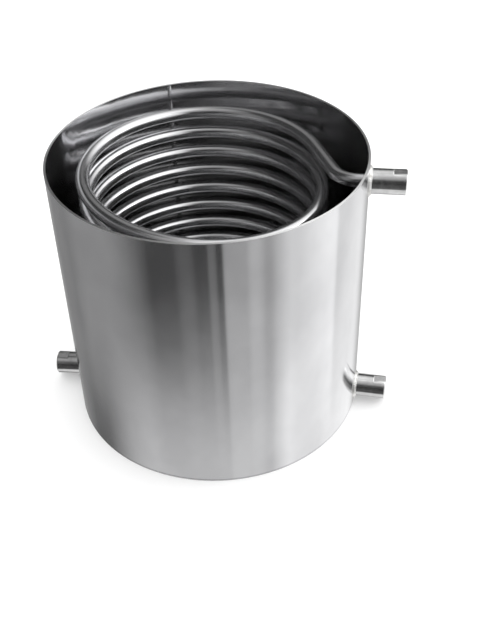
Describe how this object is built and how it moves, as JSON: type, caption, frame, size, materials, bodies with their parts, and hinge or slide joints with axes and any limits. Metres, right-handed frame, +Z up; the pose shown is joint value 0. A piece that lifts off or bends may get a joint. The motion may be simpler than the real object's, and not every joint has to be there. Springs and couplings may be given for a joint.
{
  "type": "shell and coil heat exchanger",
  "caption": "Open-topped cylindrical steel shell with a helical tube coil inside, threaded sockets for the coil's ends on one side and a drain socket low on the other.",
  "frame": {"origin": "centre of the bottom plate's underside, on the floor", "axes": "+Z up along the shell's axis, +X towards the side with the coil's two sockets, +Y to the back"},
  "size_m": [0.3318, 0.275, 0.26],
  "materials": {
    "shell_steel": "satin rolled stainless sheet",
    "coil_steel": "bright drawn stainless tube",
    "socket_steel": "turned stainless",
    "weld_steel": "rippled weld bead with faint heat tint"
  },
  "bodies": {
    "root": {"shell": "shell_steel", "shell_seam_weld": "weld_steel", "bottom_plate": "shell_steel", "bottom_weld": "weld_steel", "upper_coil_lead": "coil_steel", "coil_turn_1_front": "coil_steel", "coil_turn_1_back": "coil_steel", "coil_turn_2_front": "coil_steel", "coil_turn_2_back": "coil_steel", "coil_turn_3_front": "coil_steel", "coil_turn_3_back": "coil_steel", "coil_turn_4_front": "coil_steel", "coil_turn_4_back": "coil_steel", "coil_turn_5_front": "coil_steel", "coil_turn_5_back": "coil_steel", "coil_turn_6_front": "coil_steel", "coil_turn_6_back": "coil_steel", "coil_turn_7_front": "coil_steel", "coil_turn_7_back": "coil_steel", "coil_turn_8_front": "coil_steel", "coil_turn_8_back": "coil_steel", "coil_turn_9_front": "coil_steel", "coil_turn_9_back": "coil_steel", "coil_turn_10_front": "coil_steel", "coil_turn_10_back": "coil_steel", "lower_coil_lead": "coil_steel", "upper_coil_socket": "socket_steel", "lower_coil_socket": "socket_steel", "shell_socket": "socket_steel", "upper_coil_socket_weld": "weld_steel", "lower_coil_socket_weld": "weld_steel", "shell_socket_weld": "weld_steel", "upper_tube_end_weld": "weld_steel", "lower_tube_end_weld": "weld_steel"}
  },
  "joints": []
}
